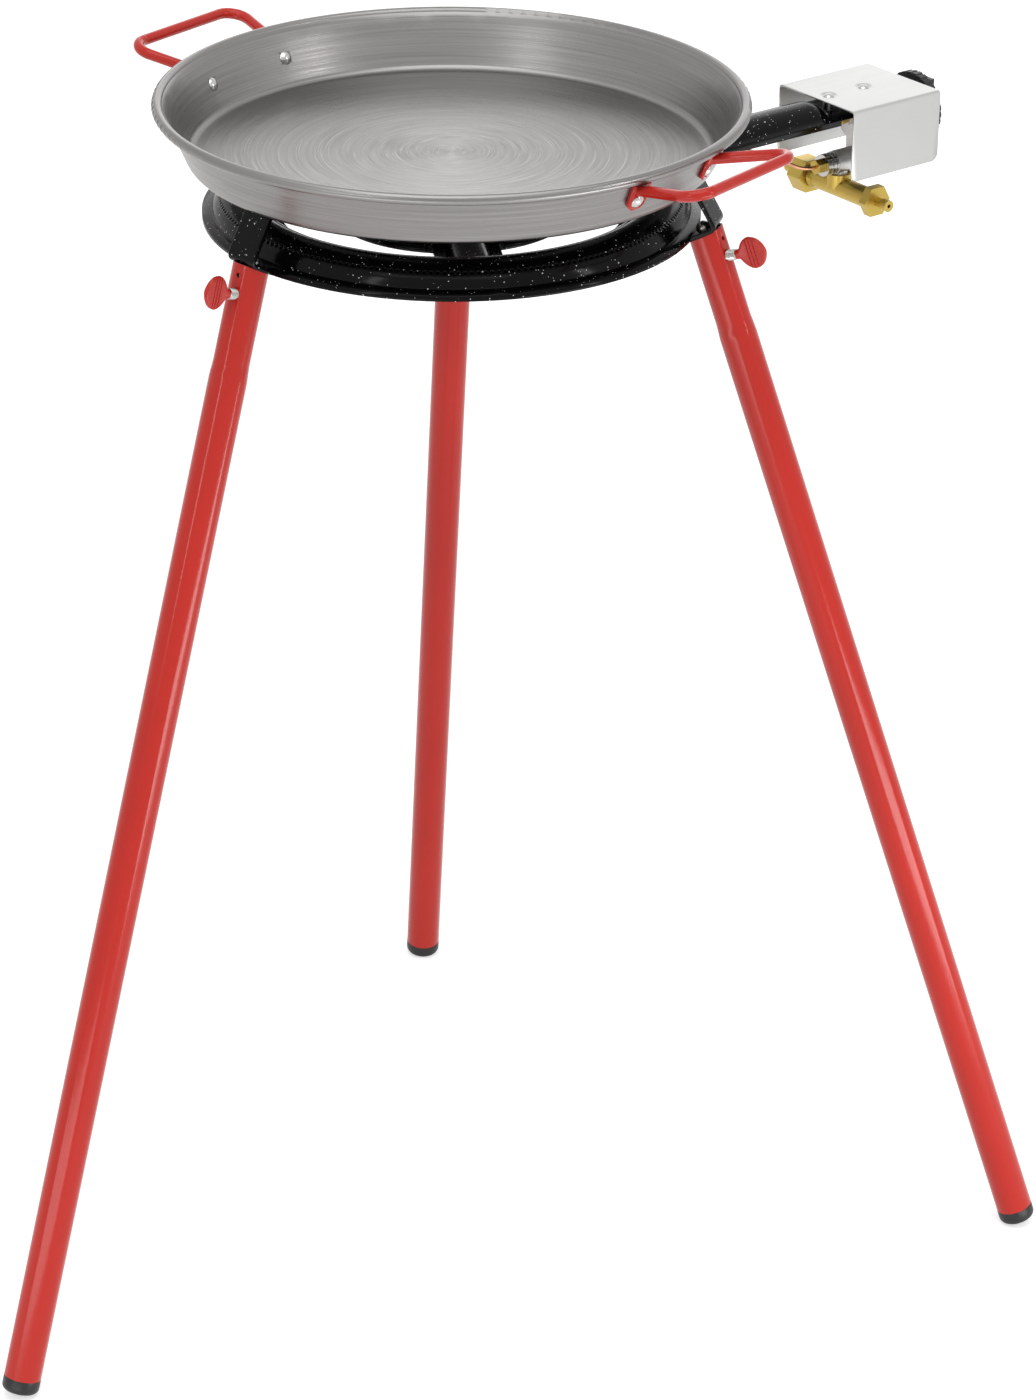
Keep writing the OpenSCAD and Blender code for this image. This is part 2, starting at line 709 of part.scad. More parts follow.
// Safety tap: the plug's barrel lies above the magnet unit's barrel, both along the feed tube
knob_z = flange_z - knob_drop;
magnet_z = flange_z - magnet_drop;
bar_z = flange_z - bar_drop;
bar_in = 26;
bar_x = cover_start + bar_in;
tap_in = 35;
tap_start = cover_start + tap_in;
tap_setback = 6;
tap_end = cover_start + cover_len - tap_setback;
barrel_d = 24;
magnet_barrel_d = 18;
magnet_lead = 7;
magnet_start = bar_x - magnet_lead;
magnet_barrel_len = 48;
web_w = 14;
boss_w = 18;
plug_d = 14;
plug_in = 10;
plug_len = 20;
plug_start = tap_start + plug_in;
plug_end = plug_start + plug_len;
plug_hole_d = 4;
gas_x = plug_start + plug_hole_d;
outlet_rise = 6;
outlet_d = 13;
outlet_len = 6;
inlet_d = 13;
inlet_bore = 7;
magnet_bore = 12;

module x_bar(x, z, d, h) {
    translate([x, 0, z]) rotate([0, 90, 0]) cylinder(d = d, h = h);
}

module tap_body() {
    boss_x = cover_screw_x[1];
    neck_z = bar_z + bar_d / 2 + tee_rise;
    outlet_z = knob_z + outlet_rise;
    bite = screw_bite + clear;
    color(steel) placed() difference() {
        union() {
            x_bar(tap_start, knob_z, barrel_d, tap_end - tap_start);
            x_bar(tap_start - outlet_len, outlet_z, outlet_d, outlet_len + plug_in);
            x_bar(magnet_start, magnet_z, magnet_barrel_d, magnet_barrel_len);
            translate([boss_x - boss_w / 2, -web_w / 2, magnet_z]) cube([boss_w, web_w, base_z - magnet_z]);
            translate([bar_x, 0, neck_z]) cylinder(d = inlet_d, h = magnet_z - neck_z);
        }
        x_bar(plug_start, knob_z, plug_d + 2 * running, tap_end - plug_start + over);
        x_bar(tap_start - outlet_len - over, outlet_z, injector_thread_d + 2 * running, outlet_len + over);
        x_bar(tap_start - over, outlet_z, jet_d, plug_in + 2 * over);
        x_bar(magnet_start - over, magnet_z, magnet_bore + 2 * running, gas_x + plug_hole_d - magnet_start);
        translate([gas_x, 0, magnet_z]) cylinder(d = plug_hole_d, h = knob_z - magnet_z);
        translate([bar_x, 0, bar_z]) cylinder(d = inlet_bore, h = magnet_z - bar_z);
        translate([boss_x, 0, base_z - bite]) cylinder(d = cover_screw_d + 2 * running, h = bite + over);
    }
}

// Tap plug with its cross hole for the gas and a socket for the spindle
spindle_d = 6;
push = 4;
socket_len = 8;
spindle_in = plug_end - socket_len;

module tap_plug() {
    color(brass) placed() difference() {
        x_bar(plug_start + clear, knob_z, plug_d, plug_end - plug_start - clear);
        x_bar(spindle_in - push - over, knob_z, spindle_d + 2 * running, socket_len + push + 2 * over);
        translate([gas_x, 0, knob_z]) cylinder(d = plug_hole_d, h = 2 * plug_d, center = true);
    }
}

// A round tube along a list of points, its rings turned to face along the path
function path_dir(p, i) = unit(p[min(i + 1, len(p) - 1)] - p[max(i - 1, 0)]);
function tube_points(p, r, sides, ref) =
    [for (i = [0:len(p) - 1])
        let (d = path_dir(p, i), u = unit(cross(d, ref)), v = cross(d, u))
        for (s = [0:sides - 1]) p[i] + r * (cos(360 * s / sides) * u + sin(360 * s / sides) * v)];
function tube_faces(rings, sides) =
    [for (i = [0:rings - 2]) for (s = [0:sides - 1])
        let (a = i * sides + s, b = i * sides + (s + 1) % sides)
        each [[a, b, b + sides], [a, b + sides, a + sides]],
     for (s = [1:sides - 2]) each [[0, s + 1, s], [0, s, s + 1] + (rings - 1) * sides * [1, 1, 1]]];

module tube(p, r, sides, ref) {
    polyhedron(tube_points(p, r, sides, ref), tube_faces(len(p), sides));
}

// Spring that keeps the spindle out: a plain helix between the plug and the spindle's collar
spring_wire = 1.2;
spring_d = 10;
spring_turns = 4;
collar_t = 2;
collar_d = 12;
collar_x = tap_end - collar_t;
spring_steps = 10;
spring_sides = 6;

module plug_spring() {
    from = plug_end + spring_wire;
    to = collar_x - spring_wire;
    steps = spring_turns * spring_steps;
    mid_r = (spring_d - spring_wire) / 2;
    path = [for (i = [0:steps]) let (a = 360 * i / spring_steps)
        [from + (to - from) * i / steps, mid_r * cos(a), knob_z + mid_r * sin(a)]];
    color(steel) placed() tube(path, spring_wire / 2, spring_sides, [1, 0, 0]);
}

bonnet_t = 3;

module tap_bonnet() {
    color(steel) placed() difference() {
        x_bar(tap_end, knob_z, barrel_d, bonnet_t);
        x_bar(tap_end - over, knob_z, spindle_d + 2 * running, bonnet_t + 2 * over);
    }
}

module spindle() {
    color(steel) placed() union() {
        x_bar(spindle_in, knob_z, spindle_d, knob_back + knob_socket - spindle_in);
        x_bar(collar_x, knob_z, collar_d, collar_t);
    }
}

// Knob: a broad ribbed skirt behind a raised finger grip
skirt_len = 7;
grip_d_share = 0.72;
grip_bar_w = 9;
rib_count = 30;
rib_d = 3;
knob_socket = 10;

module knob() {
    grip_d = knob_d * grip_d_share;
    face = knob_len - skirt_len;
    color(black_plastic) placed() difference() {
        union() {
            x_bar(knob_back, knob_z, knob_d, skirt_len);
            translate([knob_back + skirt_len, 0, knob_z]) rotate([0, 90, 0])
                cylinder(d1 = knob_d - 2 * rib_d, d2 = grip_d, h = face / 2);
            translate([knob_back + skirt_len, -grip_bar_w / 2, knob_z - grip_d / 2])
                cube([face, grip_bar_w, grip_d]);
        }
        x_bar(knob_back - over, knob_z, spindle_d + 2 * running, knob_socket + over);
        for (k = [0:rib_count - 1])
            translate([knob_back, 0, knob_z]) rotate([360 * k / rib_count, 0, 0])
                translate([-over, 0, knob_d / 2 + rib_d / 4]) rotate([0, 90, 0])
                    cylinder(d = rib_d, h = knob_len + 2 * over, $fn = 16);
    }
}

// Injector: a small brass jet that faces the mouth of the feed tube
injector_thread_d = 7;
injector_af = 10;
injector_head = 6;
jet_d = 2;

module injector() {
    head_x = tap_start - outlet_len - injector_head;
    z = knob_z + outlet_rise;
    color(brass) placed() difference() {
        union() {
            translate([head_x, 0, z]) rotate([0, 90, 0]) hex_bar(injector_af, injector_head);
            x_bar(head_x + injector_head, z, injector_thread_d, outlet_len);
            translate([head_x, 0, z]) rotate([0, -90, 0])
                cylinder(d1 = injector_thread_d, d2 = 2 * jet_d, h = jet_d);
        }
        x_bar(head_x - 2 * jet_d, z, jet_d, injector_head + outlet_len + 3 * jet_d);
    }
}

// Magnet unit: a ribbed barrel screwed into the tap, with the thermocouple's nut on its end
magnet_spigot = 18;
magnet_len = 11;
magnet_d = 17;
magnet_groove = 1.2;
magnet_groove_shares = [0.35, 0.7];
tc_nut_len = 7;
tc_nut_af = 10;
lead_d = 2.6;

module magnet_unit() {
    x = magnet_start - magnet_len;
    color(stainless) placed() difference() {
        union() {
            x_bar(x, magnet_z, magnet_d, magnet_len);
            x_bar(x + magnet_len, magnet_z, magnet_bore, magnet_spigot - clear);
        }
        for (s = magnet_groove_shares)
            translate([x + magnet_len * s, 0, magnet_z]) rotate([0, 90, 0]) difference() {
                cylinder(d = magnet_d + over, h = magnet_groove);
                translate([0, 0, -over]) cylinder(d = magnet_d - magnet_groove, h = magnet_groove + 2 * over);
            }
    }
}

module thermocouple_nut() {
    color(brass) placed() translate([magnet_start - magnet_len - tc_nut_len, 0, magnet_z])
        rotate([0, 90, 0]) hex_bar(tc_nut_af, tc_nut_len);
}

// Thermocouple lead: a thin copper pipe from the nut to the tip at the ring's edge
lead_start = [magnet_start - magnet_len - tc_nut_len, 0, magnet_z];
tip_angle = 13;
tip_reach = 19;
tip_out_r = ring_edge_r + tip_reach;
tip_len = 28;
tip_d = 5;
tip_rise_share = 0.75;
tip_z = flange_z + ring_h * tip_rise_share;
lead_sides = 8;
lead_bow = 6;
lead_dip = 2;
lead_route = [[-20, 0, 0], [-45, 4, 3], [-75, 12, 9], [-105, 24, 18], [-128, 34, 28], [-142, 41, 40]];
lead_end = turn_z([tip_out_r, 0, tip_z], tip_angle);
lead_turn = turn_z([tip_out_r + lead_bow, 0, tip_z - lead_dip], tip_angle);

module thermocouple_lead() {
    path = [lead_start, for (p = lead_route) lead_start + p, lead_turn, lead_end];
    color(copper) placed() tube(path, lead_d / 2, lead_sides, [0, 1, 0]);
}

module thermocouple_tip() {
    color(steel) placed() rotate([0, 0, tip_angle]) translate([tip_out_r, 0, tip_z]) rotate([0, -90, 0]) {
        cylinder(d = tip_d, h = tip_len - tip_d / 2);
        translate([0, 0, tip_len - tip_d / 2]) sphere(d = tip_d);
    }
}

// Clip: an angle of strip on the flange that the tip passes through
clip_w = 10;
clip_t = 1.5;
clip_foot = 6;

module thermocouple_clip() {
    r = ring_edge_r - clip_foot;
    color(steel) placed() rotate([0, 0, tip_angle]) difference() {
        union() {
            translate([r, -clip_w / 2, flange_z]) cube([clip_foot - shell_t, clip_w, clip_t]);
            translate([r, -clip_w / 2, flange_z]) cube([clip_t, clip_w, tip_z - flange_z + tip_d]);
        }
        translate([r - over, 0, tip_z]) rotate([0, 90, 0])
            cylinder(d = tip_d + 2 * running, h = clip_t + 2 * over);
    }
}

// Gas bar: a drilled brass bar across the feed tube's line, with a tee that carries the tap
tee_rise = 3;
tee_d = 19;
bar_bore = 8;

module y_bar(y, d, h) {
    translate([bar_x, y, bar_z]) rotate([-90, 0, 0]) cylinder(d = d, h = h);
}

module gas_bar() {
    color(brass) placed() difference() {
        union() {
            y_bar(-bar_len / 2, bar_d, bar_len);
            translate([bar_x, 0, bar_z]) cylinder(d = tee_d, h = bar_d / 2 + tee_rise);
        }
        y_bar(-bar_len / 2 - over, bar_bore, bar_len + 2 * over);
        translate([bar_x, 0, bar_z]) cylinder(d = inlet_bore, h = bar_d);
    }
}

// Union nut and hose nipple at the bar's far end
union_lap = 8;
union_len = 15;
nipple_flange = 3;
nipple_bore = 5;

module union_nut() {
    color(brass) placed() difference() {
        translate([bar_x, bar_len / 2 - union_lap, bar_z]) rotate([-90, 0, 0]) hex_bar(union_af, union_len);
        y_bar(bar_len / 2 - union_lap - over, bar_d + 2 * running, union_lap + nipple_flange + over);
        y_bar(bar_len / 2, nipple_d + 2 * running, union_len);
    }
}

module hose_nipple() {
    y = bar_len / 2;
    nut_end = y + union_len - union_lap;
    color(brass) placed() difference() {
        union() {
            y_bar(y, bar_d - 2 * clear, nipple_flange);
            y_bar(y + nipple_flange, nipple_d - 2 * clear, nut_end - y - nipple_flange);
            y_bar(nut_end, nipple_d, nipple_len);
        }
        y_bar(y - over, nipple_bore, union_len + nipple_len);
    }
}

// Plug with a test nipple at the bar's near end
end_plug_af = 22;
end_plug_t = 7;
test_neck_d = 7;
test_neck_len = 7;
test_tip_d = 9;
test_tip_len = 6;
test_bore = 3;

module bar_plug() {
    y = -bar_len / 2;
    color(brass) placed() difference() {
        union() {
            translate([bar_x, y, bar_z]) rotate([90, 0, 0]) hex_bar(end_plug_af, end_plug_t);
            y_bar(y - end_plug_t - test_neck_len, test_neck_d, test_neck_len);
            y_bar(y - end_plug_t - test_neck_len - test_tip_len, test_tip_d, test_tip_len);
        }
        y_bar(y - end_plug_t - test_neck_len - test_tip_len - over, test_bore, test_neck_len + test_tip_len);
    }
}

pan();
handle(0);  // handle_front
handle(180);  // handle_rear
handle_rivets();
burner_top();
burner_base();
bracket(LEFT);  // bracket_left
bracket(RIGHT);  // bracket_right
bracket(REAR);  // bracket_rear
leg_stud(LEFT);  // leg_stud_left
leg_stud(RIGHT);  // leg_stud_right
leg_stud(REAR);  // leg_stud_rear
leg(LEFT);  // leg_left
leg(RIGHT);  // leg_right
leg(REAR);  // leg_rear
foot_cap(LEFT);  // foot_cap_left
foot_cap(RIGHT);  // foot_cap_right
foot_cap(REAR);  // foot_cap_rear
thumb_screw(LEFT);  // thumb_screw_left
thumb_screw(RIGHT);  // thumb_screw_right
thumb_screw(REAR);  // thumb_screw_rear
screw_paddle(LEFT);  // screw_paddle_left
screw_paddle(RIGHT);  // screw_paddle_right
screw_paddle(REAR);  // screw_paddle_rear
valve_cover();
cover_screws();
cover_spacers();
tap_body();
tap_plug();
plug_spring();
tap_bonnet();
spindle();
knob();
injector();
magnet_unit();
thermocouple_nut();
thermocouple_lead();
thermocouple_tip();
thermocouple_clip();
gas_bar();
union_nut();
hose_nipple();
bar_plug();
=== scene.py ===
import json
from math import cos, pi, radians, sin

import bpy
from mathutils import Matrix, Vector


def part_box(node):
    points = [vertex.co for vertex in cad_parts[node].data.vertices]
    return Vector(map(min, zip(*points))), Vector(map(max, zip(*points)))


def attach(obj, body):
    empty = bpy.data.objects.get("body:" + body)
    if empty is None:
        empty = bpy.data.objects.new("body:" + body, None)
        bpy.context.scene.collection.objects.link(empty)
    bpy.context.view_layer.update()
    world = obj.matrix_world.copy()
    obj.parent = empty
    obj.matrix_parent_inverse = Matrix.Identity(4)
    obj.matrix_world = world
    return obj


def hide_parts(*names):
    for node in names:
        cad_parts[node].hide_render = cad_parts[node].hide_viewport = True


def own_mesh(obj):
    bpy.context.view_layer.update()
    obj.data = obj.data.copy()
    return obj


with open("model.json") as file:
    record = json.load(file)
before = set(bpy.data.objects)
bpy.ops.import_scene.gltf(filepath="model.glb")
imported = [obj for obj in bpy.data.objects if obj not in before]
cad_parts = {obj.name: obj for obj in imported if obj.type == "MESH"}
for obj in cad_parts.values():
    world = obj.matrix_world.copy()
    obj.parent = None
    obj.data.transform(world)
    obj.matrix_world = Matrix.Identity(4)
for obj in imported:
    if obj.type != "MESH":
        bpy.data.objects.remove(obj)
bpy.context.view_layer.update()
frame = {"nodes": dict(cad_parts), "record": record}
node = frame["nodes"]

# Burner shells and brackets. Two pressings of thin sheet steel are clamped lip over lip, and three bent
# strips are welded to the lip, before the lot is dipped in black enamel with white flecks and fired.
mm = 0.001
ENAMEL_BLACK = (0.0020, 0.0020, 0.0026, 1)
FLECK_WHITE = (0.62, 0.63, 0.63, 1)
FINE_FLECKS = (620, 0.80, 0.30)
BROAD_FLECKS = (300, 0.94, 0.24)
RIPPLES_PER_METRE = 95
RIPPLE_DEPTH = 0.05 * mm
STRIP_EDGE = 0.6 * mm
MERGE_GAP = 0.002 * mm
SMOOTH_DEGREES = 35
LEVEL_WEIGHT = 80
# Places of the colour sockets on a Mix node, whose names are shared by other kinds of value
MIX_A, MIX_B, MIX_RESULT = 6, 7, 2


def add_node(tree, kind, **settings):
    """A shader node with its own properties and, by socket name, its input values."""
    made = tree.nodes.new(kind)
    for key, value in settings.items():
        if hasattr(made, key):
            setattr(made, key, value)
        else:
            made.inputs[key.replace("_", " ")].default_value = value
    return made


def finish(name, color=(0.5, 0.5, 0.5), metallic=0.0, specular=0.5, roughness=0.4):
    """A material with a Principled shader; returns the material, its tree and the shader."""
    material = bpy.data.materials.new(name)
    material.use_nodes = True
    shader = material.node_tree.nodes["Principled BSDF"]
    shader.inputs["Base Color"].default_value = (*color, 1)
    shader.inputs["Metallic"].default_value = metallic
    shader.inputs["Specular IOR Level"].default_value = specular
    shader.inputs["Roughness"].default_value = roughness
    return material, material.node_tree, shader


def dress(names, material, edge=0.0):
    """Gives CAD nodes a material, smooth shading with level flat faces and, if asked, softened edges."""
    for name in names:
        piece = node[name]
        piece.data.materials.clear()
        piece.data.materials.append(material)
        weld = piece.modifiers.new("weld", "WELD")
        weld.merge_threshold = MERGE_GAP
        if edge:
            bevel = piece.modifiers.new("soft edge", "BEVEL")
            bevel.width = edge
            bevel.segments = 2
            bevel.limit_method = "ANGLE"
            bevel.angle_limit = radians(SMOOTH_DEGREES)
            bevel.use_clamp_overlap = True
            bevel.harden_normals = True
        piece.data.shade_smooth()
        piece.data.set_sharp_from_angle(angle=radians(SMOOTH_DEGREES))
        level_faces = piece.modifiers.new("level faces", "WEIGHTED_NORMAL")
        level_faces.keep_sharp = True
        level_faces.weight = LEVEL_WEIGHT


enamel, tree, shader = finish("speckled_enamel", specular=0.10, roughness=0.15)
place = add_node(tree, "ShaderNodeTexCoord")
flecked = None
for cells_per_metre, bare_share, largest in (FINE_FLECKS, BROAD_FLECKS):
    cells = add_node(tree, "ShaderNodeTexVoronoi", feature="F1", Scale=cells_per_metre)
    chance = add_node(tree, "ShaderNodeSeparateColor")
    size = add_node(tree, "ShaderNodeMapRange", From_Min=bare_share, From_Max=1.0, To_Min=0.0, To_Max=largest)
    fleck = add_node(tree, "ShaderNodeMath", operation="LESS_THAN")
    tree.links.new(place.outputs["Object"], cells.inputs["Vector"])
    tree.links.new(cells.outputs["Color"], chance.inputs["Color"])
    tree.links.new(chance.outputs["Red"], size.inputs["Value"])
    tree.links.new(cells.outputs["Distance"], fleck.inputs[0])
    tree.links.new(size.outputs["Result"], fleck.inputs[1])
    if flecked is None:
        flecked = fleck
        continue
    either = add_node(tree, "ShaderNodeMath", operation="MAXIMUM")
    tree.links.new(flecked.outputs["Value"], either.inputs[0])
    tree.links.new(fleck.outputs["Value"], either.inputs[1])
    flecked = either
enamel_color = add_node(tree, "ShaderNodeMix", data_type="RGBA")
enamel_color.inputs[MIX_A].default_value = ENAMEL_BLACK
enamel_color.inputs[MIX_B].default_value = FLECK_WHITE
tree.links.new(flecked.outputs["Value"], enamel_color.inputs["Factor"])
tree.links.new(enamel_color.outputs[MIX_RESULT], shader.inputs["Base Color"])
flow = add_node(tree, "ShaderNodeTexNoise", Scale=RIPPLES_PER_METRE, Detail=1)
ripple = add_node(tree, "ShaderNodeBump", Strength=0.35, Distance=RIPPLE_DEPTH)
tree.links.new(place.outputs["Object"], flow.inputs["Vector"])
tree.links.new(flow.outputs["Fac"], ripple.inputs["Height"])
tree.links.new(ripple.outputs["Normal"], shader.inputs["Normal"])
dress(["burner_top", "burner_base"], enamel)
dress(["bracket_left", "bracket_right", "bracket_rear"], enamel, edge=STRIP_EDGE)

# Leg studs. Round steel bar, turned to size, zinc plated and riveted through the bracket's plate, so that
# a leg can slide over it.
NOISE_LOW, NOISE_HIGH = 0.3, 0.7
TURNED_EDGE = 0.3 * mm


def new_group(name, inputs, outputs):
    """An empty shader node group with named sockets; returns it with its input and output nodes."""
    group = bpy.data.node_groups.new(name, "ShaderNodeTree")
    for socket, kind, value in inputs:
        made = group.interface.new_socket(socket, in_out="INPUT", socket_type=kind)
        made.default_value = value
    for socket, kind in outputs:
        group.interface.new_socket(socket, in_out="OUTPUT", socket_type=kind)
    return group, group.nodes.new("NodeGroupInput"), group.nodes.new("NodeGroupOutput")


tone_drift, ins, outs = new_group(
    "tone_drift",
    [("Place", "NodeSocketVector", (0, 0, 0)), ("Color", "NodeSocketColor", (0.5, 0.5, 0.5, 1)),
     ("Scale", "NodeSocketFloat", 18.0), ("Dark", "NodeSocketFloat", 0.95),
     ("Light", "NodeSocketFloat", 1.05)],
    [("Color", "NodeSocketColor")])
clouds = add_node(tone_drift, "ShaderNodeTexNoise", Detail=3)
level = add_node(tone_drift, "ShaderNodeMapRange", From_Min=NOISE_LOW, From_Max=NOISE_HIGH)
shaded = add_node(tone_drift, "ShaderNodeMix", data_type="RGBA", blend_type="MULTIPLY")
shaded.inputs["Factor"].default_value = 1.0
tone_drift.links.new(ins.outputs["Place"], clouds.inputs["Vector"])
tone_drift.links.new(ins.outputs["Scale"], clouds.inputs["Scale"])
tone_drift.links.new(clouds.outputs["Fac"], level.inputs["Value"])
tone_drift.links.new(ins.outputs["Dark"], level.inputs["To Min"])
tone_drift.links.new(ins.outputs["Light"], level.inputs["To Max"])
tone_drift.links.new(ins.outputs["Color"], shaded.inputs[MIX_A])
tone_drift.links.new(level.outputs["Result"], shaded.inputs[MIX_B])
tone_drift.links.new(shaded.outputs[MIX_RESULT], outs.inputs["Color"])

tool_marks, ins, outs = new_group(
    "tool_marks",
    [("Place", "NodeSocketVector", (0, 0, 0)), ("Marks per metre", "NodeSocketVector", (900, 900, 900)),
     ("Smooth", "NodeSocketFloat", 0.2), ("Rough", "NodeSocketFloat", 0.3)],
    [("Roughness", "NodeSocketFloat"), ("Height", "NodeSocketFloat")])
stretched = add_node(tool_marks, "ShaderNodeVectorMath", operation="MULTIPLY")
streaks = add_node(tool_marks, "ShaderNodeTexNoise", Scale=1.0, Detail=2)
gloss = add_node(tool_marks, "ShaderNodeMapRange", From_Min=NOISE_LOW, From_Max=NOISE_HIGH)
tool_marks.links.new(ins.outputs["Place"], stretched.inputs[0])
tool_marks.links.new(ins.outputs["Marks per metre"], stretched.inputs[1])
tool_marks.links.new(stretched.outputs["Vector"], streaks.inputs["Vector"])
tool_marks.links.new(streaks.outputs["Fac"], gloss.inputs["Value"])
tool_marks.links.new(ins.outputs["Smooth"], gloss.inputs["To Min"])
tool_marks.links.new(ins.outputs["Rough"], gloss.inputs["To Max"])
tool_marks.links.new(gloss.outputs["Result"], outs.inputs["Roughness"])
tool_marks.links.new(streaks.outputs["Fac"], outs.inputs["Height"])


def use_group(tree, group, **values):
    """Places a node group in a tree with its own input values."""
    made = tree.nodes.new("ShaderNodeGroup")
    made.node_tree = group
    for key, value in values.items():
        made.inputs[key.replace("_", " ")].default_value = value
    return made


def worked(name, color, marks, gloss, depth, metallic=1.0, specular=0.5, drift=0.05, drift_scale=18):
    """A finish whose colour drifts a little and whose fine marks run as the marks per metre say."""
    material, tree, shader = finish(name, color, metallic, specular)
    place = add_node(tree, "ShaderNodeTexCoord")
    tone = use_group(tree, tone_drift, Color=(*color, 1), Scale=drift_scale, Dark=1 - drift, Light=1 + drift)
    cut = use_group(tree, tool_marks, Marks_per_metre=marks, Smooth=gloss[0], Rough=gloss[1])
    bump = add_node(tree, "ShaderNodeBump", Strength=0.5, Distance=depth)
    tree.links.new(place.outputs["Object"], tone.inputs["Place"])
    tree.links.new(place.outputs["Object"], cut.inputs["Place"])
    tree.links.new(tone.outputs["Color"], shader.inputs["Base Color"])
    tree.links.new(cut.outputs["Roughness"], shader.inputs["Roughness"])
    tree.links.new(cut.outputs["Height"], bump.inputs["Height"])
    tree.links.new(bump.outputs["Normal"], shader.inputs["Normal"])
    return material


zinc = worked("zinc_plate", color=(0.40, 0.40, 0.38), marks=(900, 900, 900), gloss=(0.24, 0.38),
              depth=0.006 * mm, drift=0.08)
dress(["leg_stud_left", "leg_stud_right", "leg_stud_rear"], zinc, edge=TURNED_EDGE)

# Legs. Welded steel tube, narrowed at the top to slide over the stud, with a coat of glossy red paint
# that settles into a faint orange peel.
RED = (0.49, 0.018, 0.010)
red_paint = worked("red_paint", color=RED, marks=(380, 380, 380), gloss=(0.11, 0.17), depth=0.008 * mm,
                   metallic=0.0, specular=0.30, drift=0.07, drift_scale=7)
dress(["leg_left", "leg_right", "leg_rear"], red_paint)

# Thumb screws. Zinc plated steel with a rolled thread, screwed through the wall of the leg until the end
# bites on the stud; the plain shank is pressed into the paddle.
THREAD_RADIUS = 3.95 * mm
THREAD_PITCH = 1.25 * mm
THREAD_DEPTH = 0.62 * mm
THREAD_START = 10.45 * mm
THREAD_END = 19.75 * mm
SHANK_RADIUS = 2.5 * mm
SHANK_LENGTH = 4 * mm
joints = {j["name"]: j for j in frame["record"]["behaviour"]["joints"]}


def thread_rings(start, end, radius, pitch, depth, rings_per_turn=10):
    """Distances along a thread, each with a function that gives the radius at a share of the turn."""
    count = int((end - start) / pitch * rings_per_turn)
    for k in range(count + 1):
        along = start + (end - start) * k / count
        turn = (along - start) / pitch
        fade = min(1, k / rings_per_turn, (count - k) / rings_per_turn)
        yield along, lambda share, turn=turn, fade=fade: (
            radius - depth + depth * fade * (1 - abs(2 * ((turn - share) % 1) - 1)))


def skin(name, rows, material, sharp=50):
    """A closed piece from rows of points, each row a loop round it, with both ends filled."""
    sides = len(rows[0])
    last = (len(rows) - 1) * sides
    faces = [tuple(reversed(range(sides))), tuple(range(last, last + sides))]
    for start in range(0, last, sides):
        for s in range(sides):
            a, b = start + s, start + (s + 1) % sides
            faces.append((a, b, b + sides, a + sides))
    mesh = bpy.data.meshes.new(name)
    mesh.from_pydata([point for row in rows for point in row], [], faces)
    mesh.materials.append(material)
    mesh.shade_smooth()
    mesh.set_sharp_from_angle(angle=radians(sharp))
    piece = bpy.data.objects.new(name, mesh)
    bpy.context.scene.collection.objects.link(piece)
    return piece


def lathe(name, rings, base, axis, material, sides=40):
    """A closed bar round an axis, from distances along it and the radius at each share of the turn."""
    swing = Vector(axis).to_track_quat("Z", "X")
    rows = []
    for along, radius in rings:
        turns = [(radius(s / sides), 2 * pi * s / sides) for s in range(sides)]
        rows.append([Vector(base) + swing @ Vector((r * cos(a), r * sin(a), along)) for r, a in turns])
    return skin(name, rows, material)


for side in ("left", "right", "rear"):
    turning = joints["screw_turn_" + side]
    rings = list(thread_rings(THREAD_START, THREAD_END, THREAD_RADIUS, THREAD_PITCH, THREAD_DEPTH))
    rings += [(along, lambda share: SHANK_RADIUS) for along in (THREAD_END, THREAD_END + SHANK_LENGTH)]
    screw = lathe("screw_thread_" + side, rings, turning["pos_m"], turning["axis"], zinc)
    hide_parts("thumb_screw_" + side)
    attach(screw, "screw_" + side)

# Paddles. Flat fans of moulded red plastic pressed on the thumb screws: a round neck flares into a disc
# with three grooves across each face for the fingers.
PADDLE_LENGTH = 23.5 * mm
NECK_RADIUS = 3.4 * mm
NECK_FLARE = 0.12
DISC_MIDDLE = 13.2 * mm
DISC_HALF_LENGTH = PADDLE_LENGTH - DISC_MIDDLE
DISC_HALF_WIDTH = 11.5 * mm
DISC_HALF_THICKNESS = 1.8 * mm
NECK_LENGTH = 10 * mm
GROOVES = (10.4 * mm, 13.2 * mm, 16.0 * mm)
GROOVE_HALF_WIDTH = 0.45 * mm
GROOVE_FLOOR_SHARE = 0.7
GROOVE_STEPS = (-1, -0.6, 0.6, 1)
BETWEEN_GROOVES = (11.8 * mm, 14.6 * mm, 17.2 * mm)
GROOVE_DEPTH = 0.5 * mm
DISC_SQUARENESS = 0.55
BLEND_POWER = 3
NARROWEST = 0.05 * mm
NECK_STEPS = 10
END_STEPS = 14
END_SHARE = 0.35
LOOP_POINTS = 48
red_plastic = worked("red_plastic", color=(0.48, 0.018, 0.010), marks=(1400, 1400, 1400), gloss=(0.22, 0.32),
                     depth=0.004 * mm, metallic=0.0, specular=0.4)


